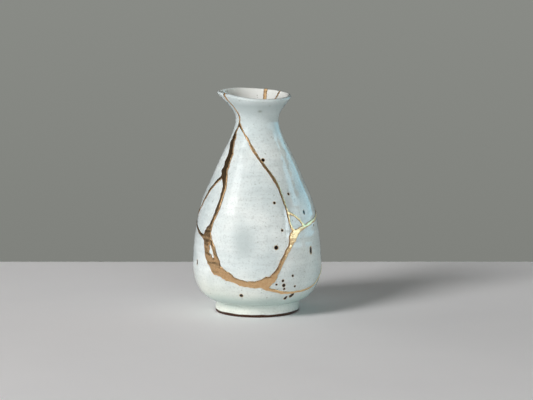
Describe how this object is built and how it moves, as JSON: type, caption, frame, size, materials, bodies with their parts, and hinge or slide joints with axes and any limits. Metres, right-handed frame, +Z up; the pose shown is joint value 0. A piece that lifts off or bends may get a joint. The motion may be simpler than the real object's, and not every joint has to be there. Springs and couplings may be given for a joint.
{
  "type": "kintsugi vase",
  "caption": "Small pear-shaped stoneware bottle vase with a foot ring, a narrow neck and a pulled lip, broken and mended with raised gold lacquer seams.",
  "frame": {"origin": "middle of the foot ring, on the surface that the vase stands on", "axes": "+Z up along the vessel's axis, -Y towards the front of the vase, -X towards the side with the spout"},
  "size_m": [0.0803, 0.0802, 0.1393],
  "materials": {
    "glaze": "glossy pale celadon glaze with iron specks over stoneware, bare brown clay on the foot's underside",
    "gold_lacquer": "gold powder burnished over raised lacquer, slightly lumpy"
  },
  "bodies": {
    "root": {"shard_base": "glaze", "shard_front_panel": "glaze", "shard_left_lens": "glaze", "shard_splinter": "glaze", "shard_spout": "glaze", "shard_neck": "glaze", "shard_rim_wedge": "glaze", "shard_small_triangle": "glaze", "shard_right_panel": "glaze", "shard_back_panel": "glaze", "gold_seams": "gold_lacquer"}
  },
  "joints": []
}
